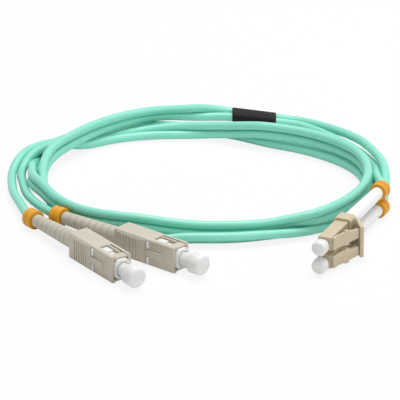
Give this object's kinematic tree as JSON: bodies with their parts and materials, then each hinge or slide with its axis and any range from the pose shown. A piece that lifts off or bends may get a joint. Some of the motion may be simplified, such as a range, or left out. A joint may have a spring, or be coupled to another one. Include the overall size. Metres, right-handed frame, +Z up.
{
  "type": "duplex fibre patch cord",
  "caption": "Coiled duplex patch cord: square push-pull plugs at one end, a clipped pair of small latch plugs at the other, dust caps on every ferrule.",
  "frame": {"origin": "on the floor, under the middle of the box round the plugs, clips and sleeve", "axes": "+Z up, +X to the right and +Y to the back of the coil as it lies in the picture"},
  "size_m": [0.1312, 0.1554, 0.0125],
  "materials": {
    "sc_grip": "satin",
    "frame": "satin",
    "ceramic": "gloss",
    "steel": "satin",
    "spring_steel": "satin",
    "brass": "satin",
    "sc_boot": "matt",
    "lc_boot": "matt",
    "cap": "soft gloss",
    "marker": "soft gloss",
    "lc_housing": "satin",
    "sleeve": "satin",
    "jacket": "matt"
  },
  "bodies": {
    "core": {"sc_near_plug_frame": "frame", "sc_near_spring": "spring_steel", "sc_near_stop_body": "steel", "sc_near_crimp_ring": "brass", "sc_near_boot": "sc_boot", "sc_near_marker_clip": "marker", "sc_leg_a": "jacket", "sc_far_plug_frame": "frame", "sc_far_spring": "spring_steel", "sc_far_stop_body": "steel", "sc_far_crimp_ring": "brass", "sc_far_boot": "sc_boot", "sc_far_marker_clip": "marker", "sc_leg_b": "jacket", "lc_lower_body": "lc_housing", "lc_lower_spring": "spring_steel", "lc_lower_rear_body": "steel", "lc_lower_crimp_sleeve": "brass", "lc_lower_boot": "lc_boot", "lc_lower_marker_clip": "marker", "lc_leg_a": "jacket", "lc_upper_body": "lc_housing", "lc_upper_spring": "spring_steel", "lc_upper_rear_body": "steel", "lc_upper_crimp_sleeve": "brass", "lc_upper_boot": "lc_boot", "lc_upper_marker_clip": "marker", "lc_leg_b": "jacket", "duplex_clip": "lc_housing", "breakout_sleeve": "sleeve", "coil_a": "jacket", "coil_b": "jacket"},
    "sc_near_grip": {"sc_near_grip": "sc_grip"},
    "sc_near_ferrule": {"sc_near_ferrule": "ceramic", "sc_near_ferrule_flange": "steel"},
    "sc_near_dust_cap": {"sc_near_dust_cap": "cap"},
    "sc_far_grip": {"sc_far_grip": "sc_grip"},
    "sc_far_ferrule": {"sc_far_ferrule": "ceramic", "sc_far_ferrule_flange": "steel"},
    "sc_far_dust_cap": {"sc_far_dust_cap": "cap"},
    "lc_lower_latch": {"lc_lower_latch": "lc_housing"},
    "lc_lower_ferrule": {"lc_lower_ferrule": "ceramic", "lc_lower_ferrule_flange": "steel"},
    "lc_lower_dust_cap": {"lc_lower_dust_cap": "cap"},
    "lc_upper_latch": {"lc_upper_latch": "lc_housing"},
    "lc_upper_ferrule": {"lc_upper_ferrule": "ceramic", "lc_upper_ferrule_flange": "steel"},
    "lc_upper_dust_cap": {"lc_upper_dust_cap": "cap"},
    "duplex_trigger": {"duplex_trigger": "lc_housing"}
  },
  "joints": [
    {"name": "sc_near_grip_slide", "type": "slide", "parent": "core", "child": "sc_near_grip", "axis": [-0.5592, 0.829, 0], "range_m": [0, 0.002]},
    {"name": "sc_near_ferrule_give", "type": "slide", "parent": "core", "child": "sc_near_ferrule", "axis": [-0.5592, 0.829, 0], "range_m": [0, 0.001], "stiffness_N_per_m": 400, "springref_m": -0.003, "deforming": ["sc_near_spring"]},
    {"name": "sc_near_dust_cap_pull", "type": "slide", "parent": "sc_near_ferrule", "child": "sc_near_dust_cap", "axis": [0.5592, -0.829, 0], "range_m": [0, 0.014]},
    {"name": "sc_far_grip_slide", "type": "slide", "parent": "core", "child": "sc_far_grip", "axis": [-0.7547, 0.6561, 0], "range_m": [0, 0.002]},
    {"name": "sc_far_ferrule_give", "type": "slide", "parent": "core", "child": "sc_far_ferrule", "axis": [-0.7547, 0.6561, 0], "range_m": [0, 0.001], "stiffness_N_per_m": 400, "springref_m": -0.003, "deforming": ["sc_far_spring"]},
    {"name": "sc_far_dust_cap_pull", "type": "slide", "parent": "sc_far_ferrule", "child": "sc_far_dust_cap", "axis": [0.7547, -0.6561, 0], "range_m": [0, 0.014]},
    {"name": "lc_lower_latch_press", "type": "hinge", "parent": "core", "child": "lc_lower_latch", "pos_m": [0.0408, -0.05835, 0.00305], "axis": [0, 0, 1], "range_deg": [0, 5], "stiffness_Nm_per_rad": 0.02},
    {"name": "lc_lower_ferrule_give", "type": "slide", "parent": "core", "child": "lc_lower_ferrule", "axis": [0.3987, 0.9171, 0], "range_m": [0, 0.0008], "stiffness_N_per_m": 400, "springref_m": -0.003, "deforming": ["lc_lower_spring"]},
    {"name": "lc_lower_dust_cap_pull", "type": "slide", "parent": "lc_lower_ferrule", "child": "lc_lower_dust_cap", "axis": [-0.3987, -0.9171, 0], "range_m": [0, 0.014]},
    {"name": "lc_upper_latch_press", "type": "hinge", "parent": "core", "child": "lc_upper_latch", "pos_m": [0.0408, -0.05835, 0.0093], "axis": [0, 0, 1], "range_deg": [0, 5], "stiffness_Nm_per_rad": 0.02},
    {"name": "lc_upper_ferrule_give", "type": "slide", "parent": "core", "child": "lc_upper_ferrule", "axis": [0.3987, 0.9171, 0], "range_m": [0, 0.0008], "stiffness_N_per_m": 400, "springref_m": -0.003, "deforming": ["lc_upper_spring"]},
    {"name": "lc_upper_dust_cap_pull", "type": "slide", "parent": "lc_upper_ferrule", "child": "lc_upper_dust_cap", "axis": [-0.3987, -0.9171, 0], "range_m": [0, 0.014]},
    {"name": "duplex_trigger_press", "type": "hinge", "parent": "core", "child": "duplex_trigger", "pos_m": [0.04909, -0.04292, 0.00617], "axis": [0, 0, -1], "range_deg": [0, 8]}
  ],
  "couplings": [
    {"joint": "lc_lower_latch_press", "follows": "duplex_trigger_press", "ratio": 0.6},
    {"joint": "lc_upper_latch_press", "follows": "duplex_trigger_press", "ratio": 0.6}
  ]
}
